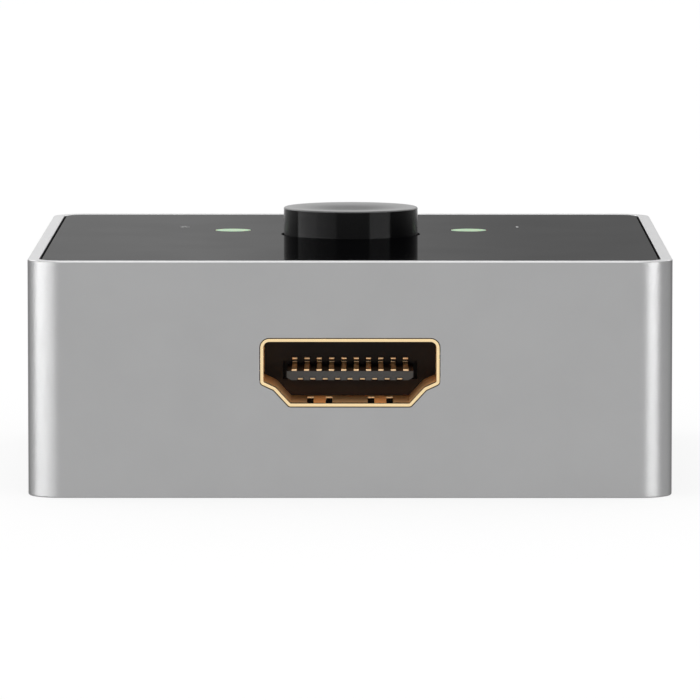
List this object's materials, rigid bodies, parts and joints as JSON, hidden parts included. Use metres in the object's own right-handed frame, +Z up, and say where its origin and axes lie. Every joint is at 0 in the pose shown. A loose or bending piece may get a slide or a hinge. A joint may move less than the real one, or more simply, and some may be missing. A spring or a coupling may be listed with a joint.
{
  "type": "hdmi switch box",
  "caption": "Small square video switch box: brushed aluminium ring frame, gloss black top with a round push button and indicator windows, sockets in front and back.",
  "frame": {"origin": "on the table under the middle of the case's square footprint", "axes": "+Z up, through the button; -Y out of the front face with the single socket; +X to the right seen from the front"},
  "size_m": [0.052, 0.052, 0.0214],
  "materials": {
    "anodised_aluminium": "satin brushed",
    "gloss_black_panel": "gloss",
    "black_button": "gloss sides, satin top",
    "black_cover": "fine moulded texture",
    "adhesive_tape": "matte",
    "screw_steel": "satin",
    "board_black": "satin solder mask",
    "gold_plate": "polished",
    "insulator_black": "matte",
    "contact_gold": "polished",
    "plunger_white": "satin",
    "switch_black": "satin",
    "terminal_tin": "tinned",
    "spring_steel": "bright wire",
    "light_pipe_green": "translucent",
    "led_yellow": "gloss",
    "chip_black": "matte moulded",
    "capacitor_tan": "sintered",
    "resistor_black": "glazed"
  },
  "bodies": {
    "case": {"outer_frame": "anodised_aluminium", "top_panel": "gloss_black_panel", "panel_tape": "adhesive_tape", "bottom_cover": "black_cover", "cover_screws": "screw_steel", "circuit_board": "board_black", "board_screws": "screw_steel", "switch_spring": "spring_steel", "switch_housing": "switch_black", "switch_terminals": "terminal_tin", "light_pipe_1": "light_pipe_green", "light_pipe_2": "light_pipe_green", "led_1": "led_yellow", "led_2": "led_yellow", "mux_chip": "chip_black", "mux_leads": "terminal_tin", "surge_arrays": "chip_black", "capacitors": "capacitor_tan", "resistors": "resistor_black", "output_shell": "gold_plate", "output_insulator": "insulator_black", "output_upper_contacts": "contact_gold", "output_lower_contacts": "contact_gold", "input_1_shell": "gold_plate", "input_1_insulator": "insulator_black", "input_1_upper_contacts": "contact_gold", "input_1_lower_contacts": "contact_gold", "input_2_shell": "gold_plate", "input_2_insulator": "insulator_black", "input_2_upper_contacts": "contact_gold", "input_2_lower_contacts": "contact_gold"},
    "button": {"button_cap": "black_button", "switch_plunger": "plunger_white", "switch_wipers": "terminal_tin"}
  },
  "joints": [
    {"name": "button_press", "type": "slide", "parent": "case", "child": "button", "axis": [0, 0, -1], "range_m": [0, 0.0016], "stiffness_N_per_m": 700, "springref_m": -0.0012, "deforming": ["switch_spring"]}
  ]
}
